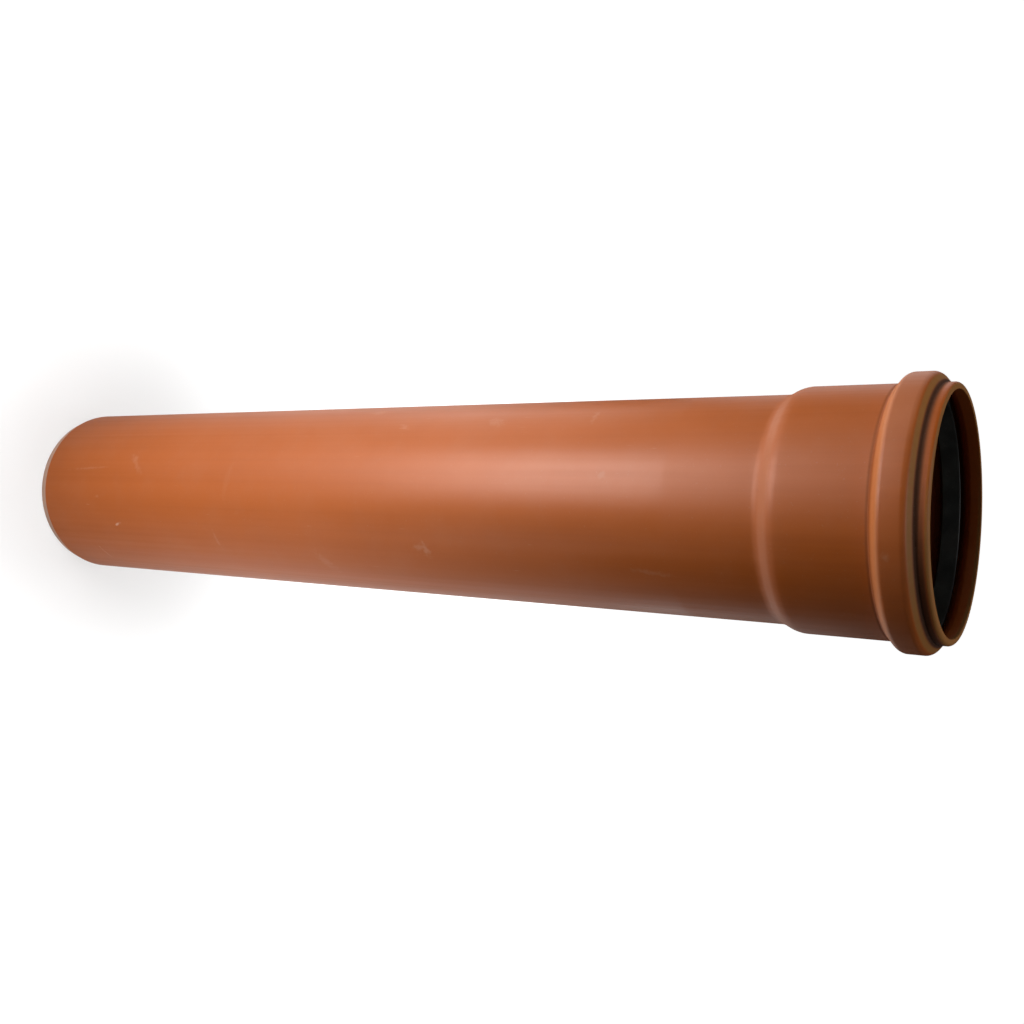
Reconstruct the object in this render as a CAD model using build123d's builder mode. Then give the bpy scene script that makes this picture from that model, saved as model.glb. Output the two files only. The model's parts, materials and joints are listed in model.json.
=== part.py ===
from build123d import *

import os
from math import atan2, radians, tan

# A short length of plastic sewer pipe, standing on its spigot with the socket's mouth up.
# The wall bells out into the socket, and a rubber ring sits in the hollow bead near the mouth.
# Sizes are in millimetres and angles in degrees. Heights run from the spigot's end to the mouth.

# Barrel
pipe_diameter = 110.0
wall = 3.2
barrel_length = 521.5
chamfer_length = 7.0
chamfer_angle = 15.0

# Socket: the wall flares out until a spigot of the same pipe slides in
spigot_room = 0.3
flare_length = 7.0
flare_bend = 9.0
sleeve_length = 42.5

# Bead: the hollow ridge round the socket that houses the ring
bead_height = 5.0
bead_rear_ramp = 4.4
bead_width = 10.8
bead_front_ramp = 3.8

# Lip: the short collar between the bead and the mouth
lip_length = 5.0
rim_rounding = 1.8

# Sealing ring: a seat in the groove, a nose towards the mouth and a lip that leans back
ring_room = 0.2
ring_seat_depth = 2.0
ring_heel_drop = 1.4
ring_nose_reach = 1.0
ring_nose_room = 0.6
ring_notch_reach = 4.0
ring_lip_length = 8.8
ring_lip_thickness = 1.3
ring_lip_room = 0.1
ring_bevel = 0.6

# Radii and heights that follow from the sizes above
pipe_radius = pipe_diameter / 2
end_radius = pipe_radius - chamfer_length * tan(radians(chamfer_angle))
socket_radius = pipe_radius + spigot_room + wall
bead_radius = socket_radius + bead_height
flare_end = barrel_length + flare_length
bead_rear_foot = flare_end + sleeve_length
bead_rear_top = bead_rear_foot + bead_rear_ramp
bead_front_top = bead_rear_top + bead_width
bead_front_foot = bead_front_top + bead_front_ramp
mouth = bead_front_foot + lip_length

# Slopes of the three ramps against the pipe's axis
flare_slope = atan2(socket_radius - pipe_radius, flare_length)
rear_slope = atan2(bead_height, bead_rear_ramp)
front_slope = atan2(bead_height, bead_front_ramp)


def wall_line(depth):
    """Corners and bend radii of a line that stays an even depth under the wall's outer face."""
    flare_slip = depth * tan(flare_slope / 2)
    rear_slip = depth * tan(rear_slope / 2)
    front_slip = depth * tan(front_slope / 2)
    corners = [
        (pipe_radius - depth, barrel_length + flare_slip),
        (socket_radius - depth, flare_end + flare_slip),
        (socket_radius - depth, bead_rear_foot + rear_slip),
        (bead_radius - depth, bead_rear_top + rear_slip),
        (bead_radius - depth, bead_front_top - front_slip),
        (socket_radius - depth, bead_front_foot - front_slip),
    ]
    # Each fold of the bead is sharp on its inner side, and as round as the wall is thick on the other
    hollow = depth
    crest = wall - depth
    bends = [
        flare_bend + hollow,
        flare_bend + crest,
        hollow,
        crest,
        crest,
        hollow,
    ]
    return corners, bends


# Pipe: one wall section turned about the axis, even in thickness up to the chamfer
outer_corners, outer_bends = wall_line(0)
inner_corners, inner_bends = wall_line(wall)
spigot_outline = [(end_radius, 0), (pipe_radius, chamfer_length)]
rim_outline = [(socket_radius, mouth), (socket_radius - wall, mouth)]
spigot_bore = [(pipe_radius - wall, 0)]

with BuildPart() as pipe:
    with BuildSketch(Plane.XZ):
        with BuildLine():
            FilletPolyline(
                spigot_outline + outer_corners + rim_outline + inner_corners[::-1] + spigot_bore,
                radius=[0, 0] + outer_bends + [rim_rounding, 0] + inner_bends[::-1] + [0],
                close=True,
            )
        make_face()
    revolve(axis=Axis.Z)

pipe.part.label = "pipe"

# Sealing ring: its back follows the groove, and its lip lies as a spigot in the socket presses it
groove_corners = wall_line(wall + ring_room)[0]
seat_rear, seat_front = groove_corners[3:5]
seat_radius, seat_rear_height = seat_rear
seat_front_height = seat_front[1]
heel = (seat_radius - ring_heel_drop, seat_rear_height - ring_heel_drop / tan(rear_slope))
notch = (seat_radius - ring_seat_depth, seat_front_height - ring_notch_reach)
nose = (pipe_radius + ring_nose_room, seat_front_height + ring_nose_reach)
lip_edge = (pipe_radius + ring_lip_room, nose[1] - ring_lip_length)
lip_back = (lip_edge[0] + ring_lip_thickness, lip_edge[1])

with BuildPart() as sealing_ring:
    with BuildSketch(Plane.XZ) as ring_section:
        with BuildLine():
            Polyline(seat_rear, seat_front, nose, lip_edge, lip_back, notch, heel, close=True)
        make_face()
        seat_corners = ring_section.vertices().group_by(Axis.X)[-1]
        chamfer(seat_corners, length=ring_bevel)
    revolve(axis=Axis.Z)

sealing_ring.part.label = "sealing_ring"

os.makedirs("parts", exist_ok=True)
export_step(pipe.part, "parts/pipe.step")
export_step(sealing_ring.part, "parts/sealing_ring.step")
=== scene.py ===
import json
from math import ceil, pi, radians, tan
from types import SimpleNamespace

import bmesh
import bpy
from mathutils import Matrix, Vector


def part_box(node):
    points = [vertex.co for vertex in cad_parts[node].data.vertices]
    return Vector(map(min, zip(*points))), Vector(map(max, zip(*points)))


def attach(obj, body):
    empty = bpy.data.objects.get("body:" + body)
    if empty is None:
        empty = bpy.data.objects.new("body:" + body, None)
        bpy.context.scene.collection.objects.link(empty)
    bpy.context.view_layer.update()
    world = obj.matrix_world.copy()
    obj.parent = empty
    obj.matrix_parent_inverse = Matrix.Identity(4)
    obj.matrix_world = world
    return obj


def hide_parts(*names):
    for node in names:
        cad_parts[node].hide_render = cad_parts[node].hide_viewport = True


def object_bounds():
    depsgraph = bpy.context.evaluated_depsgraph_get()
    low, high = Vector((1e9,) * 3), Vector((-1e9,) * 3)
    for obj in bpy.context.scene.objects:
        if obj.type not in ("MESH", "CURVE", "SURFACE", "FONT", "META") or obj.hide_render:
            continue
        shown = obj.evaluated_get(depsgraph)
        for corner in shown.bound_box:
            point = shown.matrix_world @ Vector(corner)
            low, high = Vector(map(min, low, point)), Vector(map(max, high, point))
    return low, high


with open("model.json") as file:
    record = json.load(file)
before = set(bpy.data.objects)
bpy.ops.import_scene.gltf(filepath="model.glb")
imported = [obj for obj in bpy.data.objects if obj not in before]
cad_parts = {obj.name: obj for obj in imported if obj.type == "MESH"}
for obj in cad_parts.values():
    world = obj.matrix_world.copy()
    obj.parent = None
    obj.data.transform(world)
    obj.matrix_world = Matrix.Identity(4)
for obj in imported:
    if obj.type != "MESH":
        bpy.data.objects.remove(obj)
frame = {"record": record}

bl_info = {
    "name": "Sewer Pipe",
    "version": (1, 0, 0),
    "blender": (4, 5, 0),
    "location": "View3D > Sidebar > Sewer Pipe",
    "description": "Models a socketed length of sewer pipe, its sealing ring and a plain stage",
    "category": "Add Mesh",
}

# Lengths are in metres. The pipe stands on its spigot, so heights run along its axis to the mouth.
MM = 0.001
CAD_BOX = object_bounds()
FLOOR_HEIGHT, MOUTH_HEIGHT = CAD_BOX[0].z, CAD_BOX[1].z
RING_LOW, RING_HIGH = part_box("sealing_ring")
FIT_RADIUS = {mount["name"]: mount["dims"]["r_mm"] * MM for mount in frame["record"]["mounts"]}
FULL_TURN = 2 * pi
ARC_STEP = radians(6)
MERGE_DISTANCE = 1e-7
WHITE = (1, 1, 1, 1)

# Marks on the barrel: turn round the pipe in degrees, height, half length and half width in
# millimetres, lean from the pipe's axis in degrees, and strength
SCUFFS = {
    "long_nick": (-19.5, 99.5, 8.0, 1.6, 44, 0.13),
    "nick_head": (-22.3, 98, 3.4, 2.0, 62, 0.18),
    "bright_nick": (23.2, 80.5, 2.9, 0.85, -19, 0.95),
    "faint_line": (-16, 53, 18, 0.7, -3, 0.14),
    "small_nick": (3.7, 64, 2.0, 0.8, 0, 0.14),
    "slant_scratch": (50, 48, 7.0, 0.7, 80, 0.38),
    "pale_rub": (31.5, 172.5, 6.0, 1.0, 84, 0.13),
    "soft_streak": (-9, 188, 12, 2.4, 100, 0.05),
    "low_rub": (43, 257, 8.0, 3.0, 60, 0.13),
    "star_rub": (29, 336, 4.5, 2.2, 75, 0.25),
    "star_arm": (28, 332, 4.0, 1.6, -5, 0.19),
    "upper_speck": (-47, 311, 4.0, 1.6, 30, 0.16),
    "edge_rub": (-65, 280, 6.0, 3.0, 0, 0.22),
    "upper_rub": (-50, 371, 5.0, 3.0, 20, 0.16),
    "upper_drip": (-54, 429, 5.0, 1.5, 85, 0.2),
    "mid_speck": (-15, 444, 2.2, 1.6, 0, 0.22),
    "under_line": (35, 467, 9.0, 1.4, 5, 0.13),
    "bead_spot": (16.8, 579, 1.8, 1.8, 0, 0.16),
    "back_rub": (150, 210, 12, 4.0, 20, 0.25),
    "back_line": (-130, 380, 22, 0.8, 4, 0.3),
    "side_nick": (112, 120, 3.0, 1.0, 50, 0.5),
    "side_rub": (-98, 170, 9.0, 2.5, 70, 0.22),
}

# Bands near the mouth: where each starts and where it is full, in millimetres from a corner of the wall
# Paler from stretching and from a painted highlight
REAR_SLOPE_BAND = (0.9, 1.1)
# Painted shade at the bead's foot
FOOT_BAND = (-1.6, 1.7)
# Painted olive reflection on the bead's front slope and the rim
FRONT_PAINTED_OLIVE = (0.5, 1.6)
FRONT_PAINTED_OLIVE_END = (-0.5, -1.5)
WIDE_RIM_PAINTED_OLIVE = (-2.1, -1.1)
THIN_RIM_PAINTED_OLIVE = (-0.7, -0.1)
# Painted shade in the crease and painted shadow up the lip
CREASE_SHADE_START = (-1.5, -0.5)
CREASE_SHADE_END = (2.7, 0.3)
LIP_SHADOW_END = (4.0, 2.0)

# Sides of the mouth where the painted sheen on the crest, the painted olive reflection on the rim and the
# painted shadow on the lip are stronger, as places across the pipe where that starts and is full
CREST_SHEEN_SIDE = (0.0, -0.04)
PAINTED_OLIVE_SIDE = (-0.04, 0.02)
LIP_SHADOW_SIDE = (-0.035, 0.03)

# Heights in millimetres between which the barrel turns duller, where the end was heated for its socket
HEATED_END = (474.0, 478.5)

# Lamps: place, point they face, width, height, power in watts, and what they give: soft light,
# sheen or both
LAMPS = {
    "key": ((-0.338, -0.39, 0.295), (0, 0, 0.275), 0.34, 0.34, 2.16, "light"),
    "low_key": ((-0.21, -0.28, 0.01), (-0.21, -0.28, 1.0), 0.30, 0.30, 0.6, "light"),
    "side": ((-0.56, -0.16, 0.48), (0, 0, 0.50), 0.40, 0.40, 0.75, "light"),
    "fill_low": ((0.235, -0.270, 0.20), (0, 0, 0.05), 0.24, 0.20, 0.5, "light"),
    "fill_side": ((0.36, 0.0, 0.24), (0, 0, 0.10), 0.24, 0.24, 0.31, "light"),
    "window": ((-0.25, -0.45, 0.15), (0, 0, 0.40), 0.42, 0.24, 2.7, "sheen"),
    "side_sheen": ((-0.45, 0.05, 0.12), (0, 0, 0.30), 0.50, 0.25, 0.45, "sheen"),
    "low_sheen": ((0.42, 0.25, 0.16), (0, 0, 0.45), 0.40, 0.20, 0.07, "sheen"),
    "edge": ((-0.5, 0.55, 0.42), (0, 0, 0.4), 0.50, 0.50, 0.75, "both"),
    "low_edge": ((0.55, 0.5, 0.2), (0, 0, 0.1), 0.50, 0.30, 0.3, "both"),
    "back": ((0.0, 0.75, 0.35), (0, 0, 0.30), 0.40, 0.40, 2.0, "light"),
    "overhead": ((0.0, 0.05, 1.6), (0, 0, 0.55), 0.60, 0.60, 4.3, "both"),
}


class PipeSizes(bpy.types.PropertyGroup):
    """Sizes of the pipe's wall section."""

    pipe_radius: bpy.props.FloatProperty(
        name="Pipe Radius", description="Outside radius of the barrel",
        default=FIT_RADIUS["spigot"], unit="LENGTH", precision=5)
    bore_radius: bpy.props.FloatProperty(
        name="Bore Radius", description="Inside radius of the barrel",
        default=FIT_RADIUS["waterway"], unit="LENGTH", precision=5)
    socket_radius: bpy.props.FloatProperty(
        name="Socket Radius", description="Inside radius of the socket's straight sleeve",
        default=FIT_RADIUS["socket"], unit="LENGTH", precision=5)
    mouth_height: bpy.props.FloatProperty(
        name="Mouth Height", description="Height of the socket's rim above the spigot's end",
        default=MOUTH_HEIGHT, unit="LENGTH", precision=5)
    chamfer_length: bpy.props.FloatProperty(
        name="Chamfer Length", description="Length of the turned chamfer on the spigot",
        default=7.0 * MM, unit="LENGTH", precision=5)
    chamfer_angle: bpy.props.FloatProperty(
        name="Chamfer Angle", description="Angle between the chamfer and the pipe's axis",
        default=radians(15), unit="ROTATION")
    flare_length: bpy.props.FloatProperty(
        name="Flare Length", description="Length over which the barrel widens to the socket",
        default=7.0 * MM, unit="LENGTH", precision=5)
    flare_bend: bpy.props.FloatProperty(
        name="Flare Bend", description="Inner radius of the flare's two bends",
        default=9.0 * MM, unit="LENGTH", precision=5)
    sleeve_length: bpy.props.FloatProperty(
        name="Sleeve Length", description="Length of the straight sleeve behind the bead",
        default=42.5 * MM, unit="LENGTH", precision=5)
    bead_height: bpy.props.FloatProperty(
        name="Bead Height", description="How far the bead stands out from the sleeve",
        default=5.0 * MM, unit="LENGTH", precision=5)
    bead_rear_ramp: bpy.props.FloatProperty(
        name="Bead Rear Ramp", description="Length of the bead's slope on the barrel's side",
        default=4.4 * MM, unit="LENGTH", precision=5)
    bead_width: bpy.props.FloatProperty(
        name="Bead Width", description="Length of the bead's flat top",
        default=10.8 * MM, unit="LENGTH", precision=5)
    bead_front_ramp: bpy.props.FloatProperty(
        name="Bead Front Ramp", description="Length of the bead's slope on the mouth's side",
        default=3.8 * MM, unit="LENGTH", precision=5)
    fold_bend: bpy.props.FloatProperty(
        name="Fold Bend", description="Radius on the sharp side of the bead's folds",
        default=0.35 * MM, unit="LENGTH", precision=5)
    lip_length: bpy.props.FloatProperty(
        name="Lip Length", description="Length of the collar between the bead and the rim",
        default=5.0 * MM, unit="LENGTH", precision=5)
    rim_rounding: bpy.props.FloatProperty(
        name="Rim Rounding", description="Radius of the rim's outer edge",
        default=1.8 * MM, unit="LENGTH", precision=5)
    edge_rounding: bpy.props.FloatProperty(
        name="Edge Rounding", description="Radius that takes the sharpness off the cut edges",
        default=0.35 * MM, unit="LENGTH", precision=5)
    barrel_spans: bpy.props.IntProperty(
        name="Barrel Spans", description="Lengths into which edge loops divide the barrel",
        default=12, min=1, max=100)
    loop_room: bpy.props.FloatProperty(
        name="Loop Room", description="How far the last edge loops stay clear of a bend",
        default=5.0 * MM, unit="LENGTH", precision=5)
    steps_around: bpy.props.IntProperty(
        name="Steps Around", description="Faces round the pipe", default=256, min=24, max=512)


class RingSizes(bpy.types.PropertyGroup):
    """Sizes of the sealing ring's section."""

    seat_room: bpy.props.FloatProperty(
        name="Seat Room", description="Gap between the ring's back and the groove",
        default=0.2 * MM, unit="LENGTH", precision=5)
    seat_rounding: bpy.props.FloatProperty(
        name="Seat Rounding", description="Radius of the seat's two corners",
        default=1.2 * MM, unit="LENGTH", precision=5)
    nose_radius: bpy.props.FloatProperty(
        name="Nose Radius", description="Inside radius at the nose, where a spigot enters",
        default=55.5 * MM, unit="LENGTH", precision=5)
    nose_rounding: bpy.props.FloatProperty(
        name="Nose Rounding", description="Radius of the nose's edge",
        default=0.9 * MM, unit="LENGTH", precision=5)
    lip_radius: bpy.props.FloatProperty(
        name="Lip Radius", description="Inside radius of the relaxed sealing lip",
        default=53.0 * MM, unit="LENGTH", precision=5)
    lip_rise: bpy.props.FloatProperty(
        name="Lip Rise", description="Height of the lip's tip above the ring's low end",
        default=1.5 * MM, unit="LENGTH", precision=5)
    lip_thickness: bpy.props.FloatProperty(
        name="Lip Thickness", description="Thickness of the lip's tip",
        default=1.4 * MM, unit="LENGTH", precision=5)
    lip_slant: bpy.props.FloatProperty(
        name="Lip Slant", description="Drop across the lip's tip",
        default=0.6 * MM, unit="LENGTH", precision=5)
    lip_rounding: bpy.props.FloatProperty(
        name="Lip Rounding", description="Radius of the edges of the lip's tip",
        default=0.5 * MM, unit="LENGTH", precision=5)
    notch_depth: bpy.props.FloatProperty(
        name="Notch Depth", description="Depth of the notch behind the lip, from the seat",
        default=2.0 * MM, unit="LENGTH", precision=5)
    notch_reach: bpy.props.FloatProperty(
        name="Notch Reach", description="How far the notch stays from the seat's front",
        default=4.0 * MM, unit="LENGTH", precision=5)
    notch_rounding: bpy.props.FloatProperty(
        name="Notch Rounding", description="Radius of the notch's root",
        default=0.5 * MM, unit="LENGTH", precision=5)
    heel_drop: bpy.props.FloatProperty(
        name="Heel Drop", description="How far the heel lies inside the seat",
        default=1.4 * MM, unit="LENGTH", precision=5)
    heel_rounding: bpy.props.FloatProperty(
        name="Heel Rounding", description="Radius of the heel's edge",
        default=0.2 * MM, unit="LENGTH", precision=5)
    steps_around: bpy.props.IntProperty(
        name="Steps Around", description="Faces round the ring", default=224, min=24, max=512)


class PipeFinish(bpy.types.PropertyGroup):
    """Colours of the plastic and the rubber, and how strong wear, dust, painted highlights, painted shade and
    the painted olive reflection are.
    """

    pvc_colour: bpy.props.FloatVectorProperty(
        name="PVC", description="Orange-brown of the plastic",
        default=(0.42, 0.093, 0.008), size=3, subtype="COLOR", min=0, max=1)
    # Also the colour of the painted sheen on the crest and of the painted highlight on the flare
    pvc_pale: bpy.props.FloatVectorProperty(
        name="Worn PVC", description="Paler tone of scuffs and worn streaks",
        default=(0.62, 0.33, 0.22), size=3, subtype="COLOR", min=0, max=1)
    cut_colour: bpy.props.FloatVectorProperty(
        name="Cut PVC", description="Raw plastic on the turned chamfer",
        default=(0.56, 0.36, 0.27), size=3, subtype="COLOR", min=0, max=1)
    # Paler tone from stretching on the bead's rear slope, which is also a painted highlight there
    stretched_and_highlight_colour: bpy.props.FloatVectorProperty(
        name="Stretched PVC", description="Brighter tone of the wall on the bead's rear slope",
        default=(0.70, 0.25, 0.08), size=3, subtype="COLOR", min=0, max=1)
    # Painted olive reflection on the rim and on the bead's front slope
    painted_olive_colour: bpy.props.FloatVectorProperty(
        name="Rim Film", description="Olive film on the rim and on the bead's front slope",
        default=(0.26, 0.19, 0.05), size=3, subtype="COLOR", min=0, max=1)
    # Painted shade in the crease between the bead and the lip, and painted shadow up the lip on one side
    crease_shade_colour: bpy.props.FloatVectorProperty(
        name="Crease Dirt", description="Dark dirt in the crease between the bead and the lip",
        default=(0.035, 0.02, 0.012), size=3, subtype="COLOR", min=0, max=1)
    rubber_colour: bpy.props.FloatVectorProperty(
        name="Rubber", description="Green-black of the ring",
        default=(0.010, 0.012, 0.0105), size=3, subtype="COLOR", min=0, max=1)
    dust_colour: bpy.props.FloatVectorProperty(
        name="Dust", description="Pale dust that lies on both",
        default=(0.55, 0.47, 0.40), size=3, subtype="COLOR", min=0, max=1)
    # The flare's paling comes from stretching and is also a painted highlight
    flare_paling: bpy.props.FloatProperty(
        name="Flare Paling", description="How pale the stretched wall of the flare is",
        default=0.14, min=0, max=1, subtype="FACTOR")
    # The rear slope's paling comes from stretching and is also a painted highlight
    slope_paling: bpy.props.FloatProperty(
        name="Slope Paling", description="How far the bead's rear slope takes the stretched tone",
        default=0.45, min=0, max=1, subtype="FACTOR")
    # The foot's darkening is painted shade
    foot_shade: bpy.props.FloatProperty(
        name="Foot Shade", description="How dark the fold at the bead's foot is",
        default=0.6, min=0, max=1, subtype="FACTOR")
    # Strength of the painted olive reflection
    painted_olive_strength: bpy.props.FloatProperty(
        name="Film Strength", description="How thick the olive film is",
        default=0.5, min=0, max=1, subtype="FACTOR")
    # Strength of the painted shade in the crease
    crease_strength: bpy.props.FloatProperty(
        name="Crease Strength", description="How much dirt fills the crease",
        default=0.88, min=0, max=1, subtype="FACTOR")
    # Strength of the painted shadow up the lip on its shaded side
    lip_strength: bpy.props.FloatProperty(
        name="Lip Strength", description="How much dirt reaches the lip on its dirty side",
        default=0.75, min=0, max=1, subtype="FACTOR")


class StageLook(bpy.types.PropertyGroup):
    """Camera, floor and light level."""

    camera_place: bpy.props.FloatVectorProperty(
        name="Camera Place", description="Where the camera stands",
        default=(0.0, -0.50978, 0.69175), size=3, subtype="TRANSLATION", precision=5)
    camera_turn: bpy.props.FloatVectorProperty(
        name="Camera Turn",
        description="The camera lies on its side, so the standing pipe lies across the picture",
        default=(radians(-2.92437), radians(-56.83859), radians(92.86483)), size=3, subtype="EULER")
    camera_lens: bpy.props.FloatProperty(
        name="Lens", description="Focal length in millimetres", default=38.1336, precision=4)
    sensor_width: bpy.props.FloatProperty(
        name="Sensor Width", description="Width of the sensor in millimetres", default=36.0)
    floor_radius: bpy.props.FloatProperty(
        name="Floor Radius", description="Radius of the floor", default=12.0, unit="LENGTH")
    floor_colour: bpy.props.FloatVectorProperty(
        name="Floor", description="Pale floor",
        default=(0.4, 0.4, 0.4), size=3, subtype="COLOR", min=0, max=1)
    # The floor's white dims round the foot as a painted shadow
    floor_shadow: bpy.props.FloatProperty(
        name="Floor Shadow", description="How much the floor's white is dimmed by the foot",
        default=0.42, min=0, max=1, subtype="FACTOR")
    shadow_start: bpy.props.FloatProperty(
        name="Shadow Start", description="Distance from the axis up to which the floor is dimmest",
        default=0.05, unit="LENGTH")
    shadow_reach: bpy.props.FloatProperty(
        name="Shadow Reach", description="Distance from the axis at which the floor is fully white",
        default=0.22, unit="LENGTH")
    floor_mirror: bpy.props.FloatProperty(
        name="Floor Mirror", description="How white the floor is in the plastic's sheen",
        default=0.55, min=0, max=1, subtype="FACTOR")
    mirror_reach: bpy.props.FloatProperty(
        name="Mirror Reach", description="How far from the pipe the floor shows in its sheen",
        default=0.9, unit="LENGTH")
    mirror_shade: bpy.props.FloatVectorProperty(
        name="Mirror Shade", description="Middle of the part of the floor that is darker in the sheen",
        default=(-0.03, -0.07, 0.0), size=3, subtype="TRANSLATION")
    sky_strength: bpy.props.FloatProperty(
        name="Sky Strength", description="Level of the even light from all round", default=0.03, min=0)


def node(tree, kind, inputs=None, **options):
    """Add a node, set its options, and give each input a value or another node's output."""
    made = tree.nodes.new(kind)
    for option, value in options.items():
        setattr(made, option, value)
    for socket, value in (inputs or {}).items():
        if isinstance(value, bpy.types.NodeSocket):
            tree.links.new(value, made.inputs[socket])
        else:
            made.inputs[socket].default_value = value
    return made


def maths(tree, operation, *values):
    """Output of a Math node."""
    return node(tree, "ShaderNodeMath", dict(enumerate(values)), operation=operation).outputs["Value"]


def product(tree, first, *others):
    """Output of values multiplied together."""
    for other in others:
        first = maths(tree, "MULTIPLY", first, other)
    return first


def greatest(tree, first, *others):
    """Output of the greatest of several values."""
    for other in others:
        first = maths(tree, "MAXIMUM", first, other)
    return first


def weighted(tree, total, *terms):
    """Output of a total to which each pattern is added by its weight."""
    for pattern, weight in terms:
        total = maths(tree, "MULTIPLY_ADD", pattern, weight, total)
    return total


def distance(tree, vector):
    """Output of a vector's length."""
    return node(tree, "ShaderNodeVectorMath", {0: vector}, operation="LENGTH").outputs["Value"]


def blend(tree, factor, first, second):
    """Output of a node that mixes two colours."""
    made = node(tree, "ShaderNodeMix", data_type="RGBA")
    for socket, value in ((made.inputs[0], factor), (made.inputs[6], first), (made.inputs[7], second)):
        if isinstance(value, bpy.types.NodeSocket):
            tree.links.new(value, socket)
        else:
            socket.default_value = value
    return made.outputs[2]


def ramp(tree, value, low, high, bottom=0.0, top=1.0):
    """Output that climbs smoothly from bottom to top while the value goes from low to high."""
    made = node(
        tree, "ShaderNodeMapRange",
        {"Value": value, "From Min": low, "From Max": high, "To Min": bottom, "To Max": top},
        interpolation_type="SMOOTHSTEP")
    return made.outputs["Result"]


def noise(tree, place, scale, detail=2.0, roughness=0.5, stretch=None):
    """Output of a noise whose grains may be stretched along an axis."""
    if stretch:
        place = node(tree, "ShaderNodeMapping", {"Vector": place, "Scale": stretch}).outputs["Vector"]
    made = node(
        tree, "ShaderNodeTexNoise",
        {"Vector": place, "Scale": scale, "Detail": detail, "Roughness": roughness})
    return made.outputs["Fac"]


def past_corner(tree, height, corner, span, top=1.0):
    """Mask that climbs over a span, given as its start and end in millimetres from a corner's height."""
    start, full = span
    return ramp(tree, height, corner + start, corner + full, top=top)


def slope_band(tree, height, low, high):
    """Mask that is strongest half-way up a slope between two heights, in millimetres."""
    middle, reach = (low + high) / 2, (high - low) / 2
    return ramp(tree, maths(tree, "ABSOLUTE", maths(tree, "SUBTRACT", height, middle)), reach, 0.3 * reach)


def opaque(colour):
    """Colour with full alpha."""
    return (*colour, 1.0)


def new_group(name, inputs, outputs):
    """Empty shader node group with the named sockets, and its input and output nodes."""
    group = bpy.data.node_groups.new(name, "ShaderNodeTree")
    for label, kind, default in inputs:
        socket = group.interface.new_socket(label, in_out="INPUT", socket_type=kind)
        socket.default_value = default
    for label, kind in outputs:
        group.interface.new_socket(label, in_out="OUTPUT", socket_type=kind)
    return group, group.nodes.new("NodeGroupInput"), group.nodes.new("NodeGroupOutput")


def scuff_group():
    """One rubbed mark on the pipe's outside, with a broken edge."""
    name = "Scuff Mark"
    if name in bpy.data.node_groups:
        return bpy.data.node_groups[name]
    group, given, result = new_group(
        name,
        [
            ("Surface", "NodeSocketVector", (0, 0, 0)),
            ("Grain", "NodeSocketFloat", 0.5),
            ("Middle", "NodeSocketVector", (0, 0, 0)),
            ("Spread", "NodeSocketVector", (1, 1, 1)),
            ("Lean", "NodeSocketFloat", 0.0),
            ("Strength", "NodeSocketFloat", 1.0),
        ],
        [("Mask", "NodeSocketFloat")])
    offset = node(
        group, "ShaderNodeVectorMath",
        {0: given.outputs["Surface"], 1: given.outputs["Middle"]}, operation="SUBTRACT")
    turned = node(
        group, "ShaderNodeVectorRotate",
        {"Vector": offset.outputs["Vector"], "Angle": given.outputs["Lean"]}, rotation_type="Z_AXIS")
    shrunk = node(
        group, "ShaderNodeVectorMath",
        {0: turned.outputs["Vector"], 1: given.outputs["Spread"]}, operation="DIVIDE")
    raggedness, faint_edge, full_core = 2.6, 1.5, 0.2
    reach = weighted(group, distance(group, shrunk.outputs["Vector"]), (given.outputs["Grain"], raggedness))
    mask = product(group, ramp(group, reach, faint_edge, full_core), given.outputs["Strength"])
    group.links.new(mask, result.inputs["Mask"])
    return group


def dust_group():
    """Specks and a thin film of dust."""
    name = "Dust Film"
    if name in bpy.data.node_groups:
        return bpy.data.node_groups[name]
    group, given, result = new_group(
        name,
        [
            ("Place", "NodeSocketVector", (0, 0, 0)),
            ("Film", "NodeSocketFloat", 0.1),
            ("Specks", "NodeSocketFloat", 0.3),
        ],
        [("Mask", "NodeSocketFloat")])
    cloud = ramp(group, noise(group, given.outputs["Place"], 38.0, detail=5.0, roughness=0.6), 0.42, 0.75)
    fine = ramp(group, noise(group, given.outputs["Place"], 900.0), 0.66, 0.74)
    film_and_painted_olive = product(group, cloud, given.outputs["Film"])
    mask = weighted(group, film_and_painted_olive, (fine, given.outputs["Specks"]))
    group.links.new(maths(group, "MINIMUM", mask, 1.0), result.inputs["Mask"])
    return group


def dust_mask(tree, place, film_and_painted_olive, specks):
    """Mask of dust as thick as the given film and specks."""
    dust = node(
        tree, "ShaderNodeGroup", {"Place": place, "Film": film_and_painted_olive, "Specks": specks}, node_tree=dust_group())
    return dust.outputs["Mask"]


def new_material(name):
    """Empty node material with its shader and output."""
    material = bpy.data.materials.new(name)
    material.use_nodes = True
    tree = material.node_tree
    tree.nodes.clear()
    shader = node(tree, "ShaderNodeBsdfPrincipled")
    output = node(tree, "ShaderNodeOutputMaterial", {"Surface": shader.outputs["BSDF"]})
    return material, tree, shader, output


def finish_shader(tree, shader, colour, rough, relief):
    """Give a shader its colour, its roughness and a fine relief in millimetres."""
    bump = node(tree, "ShaderNodeBump", {"Height": relief, "Distance": MM, "Strength": 1.0})
    tree.links.new(colour, shader.inputs["Base Color"])
    tree.links.new(rough, shader.inputs["Roughness"])
    tree.links.new(bump.outputs["Normal"], shader.inputs["Normal"])


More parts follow.
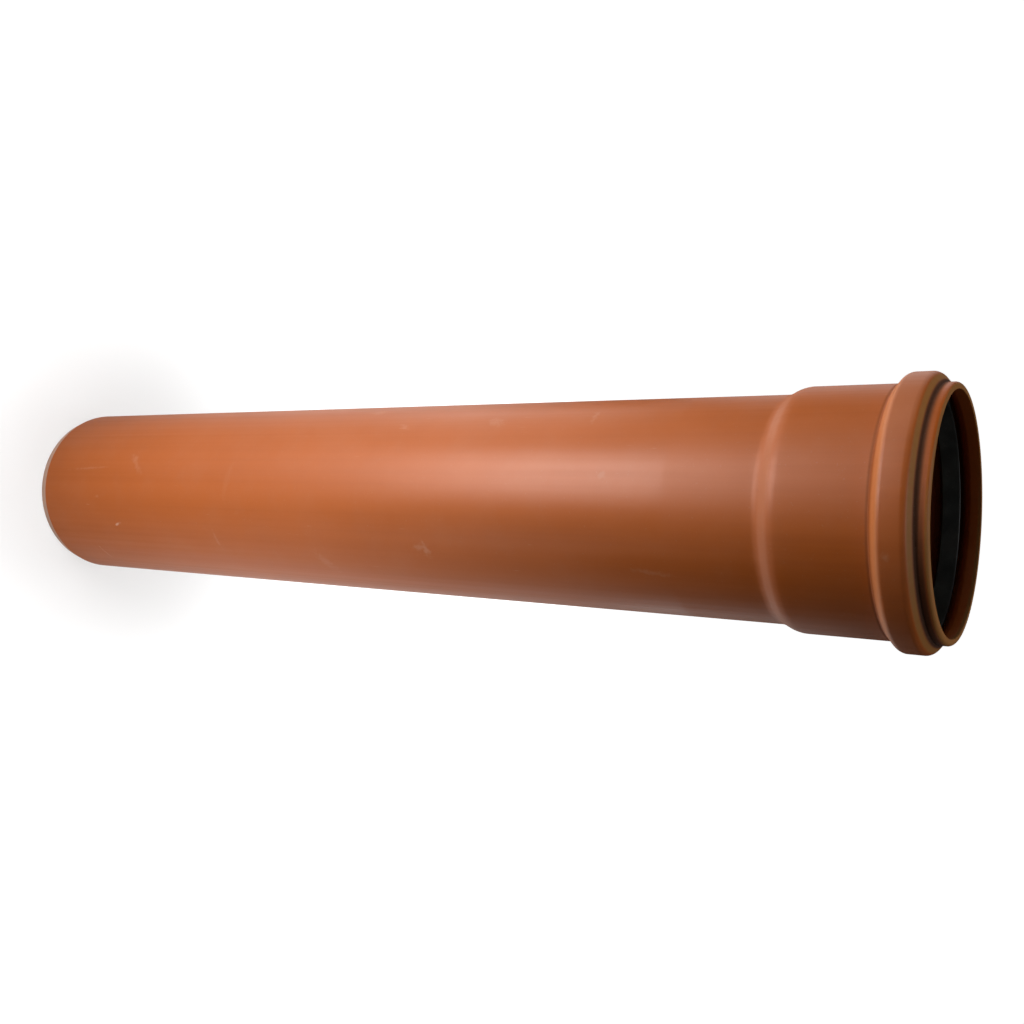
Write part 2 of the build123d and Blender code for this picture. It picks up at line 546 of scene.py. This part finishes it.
def pipe_fields(tree, sizes):
    """Coordinates and noises that the plastic's colour, sheen and relief share."""
    place = node(tree, "ShaderNodeTexCoord").outputs["Object"]
    part = node(tree, "ShaderNodeSeparateXYZ", {"Vector": place}).outputs
    turn = maths(tree, "ARCTAN2", part["X"], maths(tree, "MULTIPLY", part["Y"], -1.0))
    arc = maths(tree, "MULTIPLY", turn, sizes.pipe_radius / MM)
    height = maths(tree, "DIVIDE", part["Z"], MM)
    level = node(tree, "ShaderNodeCombineXYZ", {"X": part["X"], "Y": part["Y"]}).outputs["Vector"]
    return SimpleNamespace(
        place=place,
        across=part["X"],
        radius=distance(tree, level),
        height=height,
        surface=node(tree, "ShaderNodeCombineXYZ", {"X": arc, "Y": height}).outputs["Vector"],
        lines=noise(tree, place, 1.0, detail=4.0, roughness=0.6, stretch=(330, 330, 2.0)),
        broad_lines=noise(tree, place, 1.0, stretch=(60, 60, 0.8)),
        clouds=noise(tree, place, 14.0, detail=3.0, roughness=0.55),
        grain=noise(tree, place, 2600.0),
        broken=noise(tree, place, 420.0, detail=3.0, roughness=0.6),
    )


def plain_colour(tree, field, finish):
    """Colour of the plain plastic, with its drawn lines and faint clouds."""
    line_tone, cloud_tone, cloud_paling = 0.86, 1.06, 0.03
    darker = opaque(c * line_tone for c in finish.pvc_colour)
    paler = opaque(
        c * cloud_tone + (w - c) * cloud_paling for c, w in zip(finish.pvc_colour, finish.pvc_pale))
    colour = blend(tree, ramp(tree, field.lines, 0.35, 0.7, top=0.35), opaque(finish.pvc_colour), darker)
    colour = blend(tree, ramp(tree, field.broad_lines, 0.45, 0.75, top=0.7), colour, paler)
    return blend(tree, ramp(tree, field.clouds, 0.35, 0.75, top=0.6), colour, paler)


def scuff_mask(tree, field, sizes):
    """Mask of the marks that handling left, with stray faint scratches along the pipe."""
    mask = product(
        tree,
        ramp(tree, noise(tree, field.surface, 1.0, stretch=(0.9, 0.06, 1)), 0.70, 0.78),
        ramp(tree, noise(tree, field.place, 30.0), 0.52, 0.64, top=0.35))
    ragged = maths(tree, "SUBTRACT", field.broken, 0.5)
    for turn, mark_height, half_length, half_width, lean, strength in SCUFFS.values():
        values = {
            "Surface": field.surface,
            "Grain": ragged,
            "Middle": (radians(turn) * sizes.pipe_radius / MM, mark_height, 0),
            "Spread": (half_width, half_length, 1),
            "Lean": radians(lean),
            "Strength": strength,
        }
        mark = node(tree, "ShaderNodeGroup", values, node_tree=scuff_group())
        mask = greatest(tree, mask, mark.outputs["Mask"])
    return mask


def cut_mask(tree, field, sizes):
    """Mask of the raw cut: the chamfer and the end face, but not the bore."""
    chamfer, softness = sizes.chamfer_length / MM, 0.15
    return product(
        tree,
        ramp(tree, field.height, chamfer + softness, chamfer - softness),
        ramp(tree, field.radius, sizes.bore_radius + 0.1 * MM, sizes.bore_radius + 0.3 * MM))


def mouth_finish(tree, field, sizes, finish, colour):
    """Colour near the mouth with its wear, painted highlights, painted shade and a painted olive reflection,
    and the masks of the painted shade at the foot and of the painted olive reflection and crease shade.
    """
    corner = {name: height / MM for name, height in wall_heights(sizes).items()}
    rim = sizes.mouth_height / MM
    height, across, radius = field.height, field.across, field.radius
    barrel_outside = ramp(tree, radius, sizes.pipe_radius - 0.6 * MM, sizes.pipe_radius - 0.2 * MM)
    socket_outside = ramp(tree, radius, sizes.socket_radius + 1.0 * MM, sizes.socket_radius + 2.0 * MM)

    # The bead's crest is paler: a little wear all round, and on one side a painted sheen
    crest_radius = sizes.socket_radius + sizes.pipe_radius - sizes.bore_radius + sizes.bead_height
    crest_wear_and_sheen = product(
        tree,
        ramp(tree, radius, crest_radius - 1.2 * MM, crest_radius - 0.2 * MM),
        ramp(tree, across, *CREST_SHEEN_SIDE, bottom=0.05, top=0.16),
        ramp(tree, field.clouds, 0.3, 0.6, bottom=0.6))
    colour = blend(tree, crest_wear_and_sheen, colour, opaque(finish.pvc_pale))

    # The flare and the bead's rear slope are paler from stretching and from a painted highlight, and painted
    # shade darkens the fold at the bead's foot
    flare_stretch_and_highlight = product(
        tree, slope_band(tree, height, corner["flare_start"], corner["flare_end"]),
        barrel_outside, finish.flare_paling)
    colour = blend(tree, flare_stretch_and_highlight, colour, opaque(finish.pvc_pale))
    slope_start, slope_end = REAR_SLOPE_BAND
    slope_stretch_and_highlight = product(
        tree, slope_band(tree, height, corner["rear_foot"] + slope_start, corner["rear_top"] + slope_end),
        socket_outside, finish.slope_paling)
    colour = blend(tree, slope_stretch_and_highlight, colour, opaque(finish.stretched_and_highlight_colour))
    # Painted shade: the fold at the bead's foot gets the plastic's colour at half brightness
    foot_start, foot_end = FOOT_BAND
    foot = product(
        tree, slope_band(tree, height, corner["rear_foot"] + foot_start, corner["rear_foot"] + foot_end),
        socket_outside)
    shade_tone = 0.5
    shade = opaque(c * shade_tone for c in finish.pvc_colour)
    colour = blend(tree, product(tree, foot, finish.foot_shade), colour, shade)

    # A painted olive reflection lies on the bead's front slope and on the rim, and it is wider on one side of
    # the rim
    front_painted_olive = product(
        tree,
        past_corner(tree, height, corner["front_top"], FRONT_PAINTED_OLIVE, top=finish.painted_olive_strength),
        past_corner(tree, height, corner["lip"], FRONT_PAINTED_OLIVE_END),
        socket_outside)
    wide_painted_olive = product(
        tree,
        past_corner(tree, height, rim, WIDE_RIM_PAINTED_OLIVE, top=finish.painted_olive_strength),
        ramp(tree, across, *PAINTED_OLIVE_SIDE))
    thin_painted_olive = past_corner(tree, height, rim, THIN_RIM_PAINTED_OLIVE, top=finish.painted_olive_strength)
    film_and_painted_olive = product(
        tree, greatest(tree, front_painted_olive, wide_painted_olive, thin_painted_olive),
        ramp(tree, field.broken, 0.2, 0.6, bottom=0.7))
    colour = blend(tree, film_and_painted_olive, colour, opaque(finish.painted_olive_colour))

    # Painted shade fills the crease, and on one side painted shadow reaches up the lip
    lip_painted_shadow = product(
        tree,
        ramp(tree, across, *LIP_SHADOW_SIDE, top=finish.lip_strength),
        past_corner(tree, height, corner["lip"], LIP_SHADOW_END))
    crease_painted_shade = past_corner(tree, height, corner["lip"], CREASE_SHADE_END, top=finish.crease_strength)
    painted_crease_and_lip_shade = product(
        tree, greatest(tree, lip_painted_shadow, crease_painted_shade),
        past_corner(tree, height, corner["lip"], CREASE_SHADE_START), socket_outside)
    colour = blend(tree, painted_crease_and_lip_shade, colour, opaque(finish.crease_shade_colour))
    return colour, foot, greatest(tree, film_and_painted_olive, painted_crease_and_lip_shade)


def pvc_material(sizes, finish):
    """Satin plastic with drawn lines, scuffs, dust, a raw turned chamfer, and painted highlights, painted
    shade and a painted olive reflection at the mouth.
    """
    material, tree, shader, _ = new_material("pvc")
    shader.inputs["Specular IOR Level"].default_value = 0.4
    field = pipe_fields(tree, sizes)
    scuffs = scuff_mask(tree, field, sizes)
    cut = cut_mask(tree, field, sizes)
    dust = dust_mask(tree, field.place, film_and_painted_olive=0.02, specks=0.05)

    colour = plain_colour(tree, field, finish)
    colour = blend(tree, scuffs, colour, opaque(finish.pvc_pale))
    cut_colour = blend(
        tree, ramp(tree, field.broken, 0.35, 0.7, top=0.5),
        opaque(finish.cut_colour), opaque(finish.pvc_pale))
    colour = blend(tree, cut, colour, cut_colour)
    colour, foot, painted_olive_and_shade = mouth_finish(tree, field, sizes, finish, colour)
    colour = blend(tree, dust, colour, opaque(finish.dust_colour))

    # Duller where the end was heated, on marks and cuts, and where the mouth carries painted shade and the
    # painted olive reflection
    rough = maths(
        tree, "ADD",
        ramp(tree, field.lines, 0.3, 0.75, bottom=0.36, top=0.43),
        ramp(tree, field.height, *HEATED_END, top=0.07))
    rough = weighted(tree, rough, (scuffs, 0.2), (cut, 0.25), (painted_olive_and_shade, 0.5), (foot, 0.2), (dust, 0.3))
    rough = maths(tree, "MINIMUM", rough, 1.0)

    # Fine relief in millimetres: drawn lines, grain, sunken marks and the turning tool's lines
    tool_feed = 0.55
    tool_lines = maths(tree, "SINE", maths(tree, "MULTIPLY", field.height, FULL_TURN / tool_feed))
    relief = maths(tree, "MULTIPLY", field.lines, 0.010)
    relief = weighted(
        tree, relief, (field.grain, 0.004), (scuffs, -0.03), (product(tree, tool_lines, cut), 0.03))
    finish_shader(tree, shader, colour, rough, relief)
    return material


def rubber_material(finish):
    """Green-black rubber with faint mould lines round it and a little dust."""
    material, tree, shader, _ = new_material("rubber")
    place = node(tree, "ShaderNodeTexCoord").outputs["Object"]
    part = node(tree, "ShaderNodeSeparateXYZ", {"Vector": place}).outputs
    mottle = noise(tree, place, 160.0, detail=4.0, roughness=0.6)
    grain = noise(tree, place, 2200.0)
    dust = dust_mask(tree, place, film_and_painted_olive=0.03, specks=0.06)
    mottle_tone = 1.9
    paler = opaque(c * mottle_tone for c in finish.rubber_colour)
    colour = blend(tree, ramp(tree, mottle, 0.35, 0.75), opaque(finish.rubber_colour), paler)
    colour = blend(tree, dust, colour, opaque(finish.dust_colour))
    rough = weighted(tree, ramp(tree, mottle, 0.3, 0.8, bottom=0.38, top=0.52), (dust, 0.4))
    line_spacing = 0.8 * MM
    mould_lines = maths(tree, "SINE", maths(tree, "MULTIPLY", part["Z"], FULL_TURN / line_spacing))
    relief = weighted(tree, maths(tree, "MULTIPLY", grain, 0.012), (mould_lines, 0.006))
    finish_shader(tree, shader, colour, rough, relief)
    return material


def wall_heights(sizes):
    """Heights of the wall's corners, from the mouth down, by name."""
    lip = sizes.mouth_height - sizes.lip_length
    front_top = lip - sizes.bead_front_ramp
    rear_top = front_top - sizes.bead_width
    rear_foot = rear_top - sizes.bead_rear_ramp
    flare_end = rear_foot - sizes.sleeve_length
    return {
        "flare_start": flare_end - sizes.flare_length,
        "flare_end": flare_end,
        "rear_foot": rear_foot,
        "rear_top": rear_top,
        "front_top": front_top,
        "lip": lip,
    }


def half_slope(rise, run):
    """Tangent of half of a ramp's slope against the axis."""
    hypotenuse = (rise * rise + run * run) ** 0.5
    return (hypotenuse - run) / rise


def wall_line(sizes, depth):
    """Corners, as radius, height and bend, of a line at an even depth under the wall's outer face."""
    wall = sizes.pipe_radius - sizes.bore_radius
    outer_socket = sizes.socket_radius + wall
    at = wall_heights(sizes)
    flare_slip = depth * half_slope(outer_socket - sizes.pipe_radius, sizes.flare_length)
    rear_slip = depth * half_slope(sizes.bead_height, sizes.bead_rear_ramp)
    front_slip = depth * half_slope(sizes.bead_height, sizes.bead_front_ramp)
    barrel = sizes.pipe_radius - depth
    sleeve = outer_socket - depth
    bead = outer_socket + sizes.bead_height - depth
    crest = wall - depth
    return [
        (barrel, at["flare_start"] + flare_slip, sizes.flare_bend + depth),
        (sleeve, at["flare_end"] + flare_slip, sizes.flare_bend + crest),
        (sleeve, at["rear_foot"] + rear_slip, sizes.fold_bend + depth),
        (bead, at["rear_top"] + rear_slip, sizes.fold_bend + crest),
        (bead, at["front_top"] - front_slip, sizes.fold_bend + crest),
        (sleeve, at["lip"] - front_slip, sizes.fold_bend + depth),
    ]


def turned_mesh(name, section, steps, loops=()):
    """Mesh of a closed section, with each corner rounded, spun once round the pipe's axis."""
    bm = bmesh.new()
    corners = [bm.verts.new((radius, 0, height)) for radius, height, bend in section]
    for first, second in zip(corners, corners[1:] + corners[:1]):
        bm.edges.new((first, second))
    places = [corner.co.copy() for corner in corners]
    for number, (radius, height, bend) in enumerate(section):
        here = places[number]
        into = (here - places[number - 1]).normalized()
        out = (places[(number + 1) % len(section)] - here).normalized()
        turn = into.angle(out)
        bmesh.ops.bevel(
            bm, geom=[corners[number]], offset=bend * tan(turn / 2), offset_type="OFFSET",
            segments=max(2, ceil(turn / ARC_STEP)), profile=0.5, affect="VERTICES", material=-1)
    for height in loops:
        bmesh.ops.bisect_plane(
            bm, geom=bm.verts[:] + bm.edges[:], dist=MERGE_DISTANCE,
            plane_co=(0, 0, height), plane_no=(0, 0, 1))
    bmesh.ops.spin(
        bm, geom=bm.verts[:] + bm.edges[:], cent=(0, 0, 0), axis=(0, 0, 1), dvec=(0, 0, 0),
        angle=FULL_TURN, steps=steps, use_merge=True, use_duplicate=False)
    bmesh.ops.remove_doubles(bm, verts=bm.verts[:], dist=MERGE_DISTANCE)
    bmesh.ops.recalc_face_normals(bm, faces=bm.faces[:])
    for face in bm.faces:
        face.smooth = True
    mesh = bpy.data.meshes.new(name)
    bm.to_mesh(mesh)
    bm.free()
    return mesh


def add_piece(name, mesh, material, replaced):
    """Put a finished piece in the scene in place of its plain solid."""
    piece = bpy.data.objects.new(name, mesh)
    bpy.context.scene.collection.objects.link(piece)
    mesh.materials.append(material)
    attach(piece, "root")
    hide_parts(replaced)
    return piece


class SEWERPIPE_OT_add_pipe(bpy.types.Operator):
    """Add the pipe: one wall section with its chamfer, flare, bead and rim, spun round the axis"""

    bl_idname = "sewerpipe.add_pipe"
    bl_label = "Add Pipe"

    def execute(self, context):
        sizes = context.scene.sewerpipe_sizes
        wall = sizes.pipe_radius - sizes.bore_radius
        edge = sizes.edge_rounding
        end_radius = sizes.pipe_radius - sizes.chamfer_length * tan(sizes.chamfer_angle)
        spigot = [(end_radius, FLOOR_HEIGHT, edge), (sizes.pipe_radius, sizes.chamfer_length, edge)]
        rim = [
            (sizes.socket_radius + wall, sizes.mouth_height, sizes.rim_rounding),
            (sizes.socket_radius, sizes.mouth_height, edge),
        ]
        bore_end = [(sizes.bore_radius, FLOOR_HEIGHT, edge)]
        section = spigot + wall_line(sizes, 0) + rim + wall_line(sizes, wall)[::-1] + bore_end
        at = wall_heights(sizes)
        past_chamfer, past_flare = 2 * MM, 6 * MM
        low, high = sizes.chamfer_length + past_chamfer, at["flare_start"] - sizes.loop_room
        spans = sizes.barrel_spans
        loops = [low + (high - low) * number / spans for number in range(spans + 1)]
        loops += [at["flare_end"] + past_flare, at["rear_foot"] - sizes.loop_room]
        mesh = turned_mesh("pipe_wall", section, sizes.steps_around, loops)
        material = pvc_material(sizes, context.scene.sewerpipe_finish)
        add_piece("pipe_wall", mesh, material, "pipe")
        return {"FINISHED"}


class SEWERPIPE_OT_add_ring(bpy.types.Operator):
    """Add the sealing ring: a seat in the groove, a rounded nose and a lip that leans inwards"""

    bl_idname = "sewerpipe.add_ring"
    bl_label = "Add Sealing Ring"

    def execute(self, context):
        sizes = context.scene.sewerpipe_sizes
        ring = context.scene.sewerpipe_ring
        wall = sizes.pipe_radius - sizes.bore_radius
        groove = wall_line(sizes, wall + ring.seat_room)
        (seat_radius, seat_rear, _), (_, seat_front, _) = groove[3:5]
        lip_height = RING_LOW.z + ring.lip_rise
        lip_back = (ring.lip_radius + ring.lip_thickness, lip_height - ring.lip_slant)
        notch = (seat_radius - ring.notch_depth, seat_front - ring.notch_reach)
        section = [
            (seat_radius, seat_rear, ring.seat_rounding),
            (seat_radius, seat_front, ring.seat_rounding),
            (ring.nose_radius, RING_HIGH.z, ring.nose_rounding),
            (ring.lip_radius, lip_height, ring.lip_rounding),
            (*lip_back, ring.lip_rounding),
            (*notch, ring.notch_rounding),
            (seat_radius - ring.heel_drop, RING_LOW.z, ring.heel_rounding),
        ]
        mesh = turned_mesh("ring_body", section, ring.steps_around)
        material = rubber_material(context.scene.sewerpipe_finish)
        add_piece("ring_body", mesh, material, "sealing_ring")
        return {"FINISHED"}


def stage_material(look):
    """Pale floor that is white to the camera, with a painted shadow round the foot, and shows in the
    plastic's sheen.
    """
    material, tree, shader, output = new_material("floor")
    shader.inputs["Base Color"].default_value = opaque(look.floor_colour)
    shader.inputs["Roughness"].default_value = 0.9
    shader.inputs["Specular IOR Level"].default_value = 0.0
    place = node(tree, "ShaderNodeTexCoord").outputs["Object"]
    aside = node(
        tree, "ShaderNodeVectorMath", {0: place, 1: look.mirror_shade[:]}, operation="SUBTRACT")
    reach = distance(tree, place)
    # The white is dimmed round the foot: a painted shadow over the faint real one
    seen = ramp(tree, reach, look.shadow_start, look.shadow_reach, bottom=1.0 - look.floor_shadow)
    # In the sheen the floor is darker round one spot by the foot, and it fades out far from the pipe
    shade_core, shade_edge, shade_level, even_share = 0.06, 0.30, 0.15, 0.4
    mirrored = product(
        tree,
        ramp(tree, distance(tree, aside.outputs["Vector"]), shade_core, shade_edge, bottom=shade_level),
        ramp(tree, reach, look.mirror_reach, even_share * look.mirror_reach, top=look.floor_mirror))
    path = node(tree, "ShaderNodeLightPath")
    gloss = greatest(tree, path.outputs["Is Glossy Ray"], path.outputs["Is Transmission Ray"])
    level = maths(
        tree, "ADD",
        product(tree, seen, path.outputs["Is Camera Ray"]),
        product(tree, mirrored, gloss))
    white = node(tree, "ShaderNodeEmission", {"Color": WHITE, "Strength": level})
    both = node(tree, "ShaderNodeAddShader", {0: shader.outputs["BSDF"], 1: white.outputs["Emission"]})
    tree.links.new(both.outputs["Shader"], output.inputs["Surface"])
    return material


def stage_world(look):
    """Even soft light from all round, with white behind the object."""
    world = bpy.data.worlds.new("studio")
    world.use_nodes = True
    tree = world.node_tree
    tree.nodes.clear()
    path = node(tree, "ShaderNodeLightPath")
    soft = node(tree, "ShaderNodeBackground", {"Color": WHITE, "Strength": look.sky_strength})
    white = node(tree, "ShaderNodeBackground", {"Color": WHITE, "Strength": 1.0})
    mixed = node(
        tree, "ShaderNodeMixShader",
        {"Fac": path.outputs["Is Camera Ray"], 1: soft.outputs["Background"], 2: white.outputs["Background"]})
    node(tree, "ShaderNodeOutputWorld", {"Surface": mixed.outputs["Shader"]})
    return world


class SEWERPIPE_OT_set_stage(bpy.types.Operator):
    """Set the stage: a pale floor, soft lamps and the camera"""

    bl_idname = "sewerpipe.set_stage"
    bl_label = "Set Stage"

    def execute(self, context):
        scene = context.scene
        look = scene.sewerpipe_stage
        bm = bmesh.new()
        bmesh.ops.create_circle(bm, cap_ends=True, segments=96, radius=look.floor_radius)
        bmesh.ops.translate(bm, verts=bm.verts[:], vec=(0, 0, FLOOR_HEIGHT))
        mesh = bpy.data.meshes.new("floor")
        bm.to_mesh(mesh)
        bm.free()
        mesh.materials.append(stage_material(look))
        floor = bpy.data.objects.new("floor", mesh)
        scene.collection.objects.link(floor)

        for name, (place, aim, width, height, power, gives) in LAMPS.items():
            light = bpy.data.lights.new(name, "AREA")
            light.shape = "RECTANGLE"
            light.size = width
            light.size_y = height
            light.energy = power
            lamp = bpy.data.objects.new(name, light)
            lamp.location = place
            lamp.rotation_euler = (Vector(aim) - Vector(place)).to_track_quat("-Z", "Y").to_euler()
            lamp.visible_camera = False
            lamp.visible_diffuse = gives != "sheen"
            lamp.visible_glossy = gives != "light"
            scene.collection.objects.link(lamp)

        scene.world = stage_world(look)
        scene.view_settings.view_transform = "Standard"

        lens = bpy.data.cameras.new("camera")
        lens.sensor_fit = "HORIZONTAL"
        lens.sensor_width = look.sensor_width
        lens.lens = look.camera_lens
        lens.clip_start = 0.01
        camera = bpy.data.objects.new("camera", lens)
        camera.location = look.camera_place
        camera.rotation_euler = look.camera_turn
        scene.collection.objects.link(camera)
        scene.camera = camera
        return {"FINISHED"}


class SEWERPIPE_PT_sidebar(bpy.types.Panel):
    """Sizes and finishes of the sewer pipe"""

    bl_idname = "SEWERPIPE_PT_sidebar"
    bl_label = "Sewer Pipe"
    bl_space_type = "VIEW_3D"
    bl_region_type = "UI"
    bl_category = "Sewer Pipe"

    def draw(self, context):
        for group, operator in (
            ("sewerpipe_sizes", SEWERPIPE_OT_add_pipe.bl_idname),
            ("sewerpipe_ring", SEWERPIPE_OT_add_ring.bl_idname),
            ("sewerpipe_finish", None),
            ("sewerpipe_stage", SEWERPIPE_OT_set_stage.bl_idname),
        ):
            box = self.layout.box()
            settings = getattr(context.scene, group)
            for name in settings.__annotations__:
                box.prop(settings, name)
            if operator:
                box.operator(operator)


SETTINGS = {
    "sewerpipe_sizes": PipeSizes,
    "sewerpipe_ring": RingSizes,
    "sewerpipe_finish": PipeFinish,
    "sewerpipe_stage": StageLook,
}
CLASSES = (
    *SETTINGS.values(),
    SEWERPIPE_OT_add_pipe,
    SEWERPIPE_OT_add_ring,
    SEWERPIPE_OT_set_stage,
    SEWERPIPE_PT_sidebar,
)


def register():
    for each in CLASSES:
        bpy.utils.register_class(each)
    for name, group in SETTINGS.items():
        setattr(bpy.types.Scene, name, bpy.props.PointerProperty(type=group))


def unregister():
    for name in SETTINGS:
        delattr(bpy.types.Scene, name)
    for each in reversed(CLASSES):
        bpy.utils.unregister_class(each)


def main():
    register()
    bpy.ops.sewerpipe.add_pipe()
    bpy.ops.sewerpipe.add_ring()
    bpy.ops.sewerpipe.set_stage()


if __name__ == "__main__":
    main()
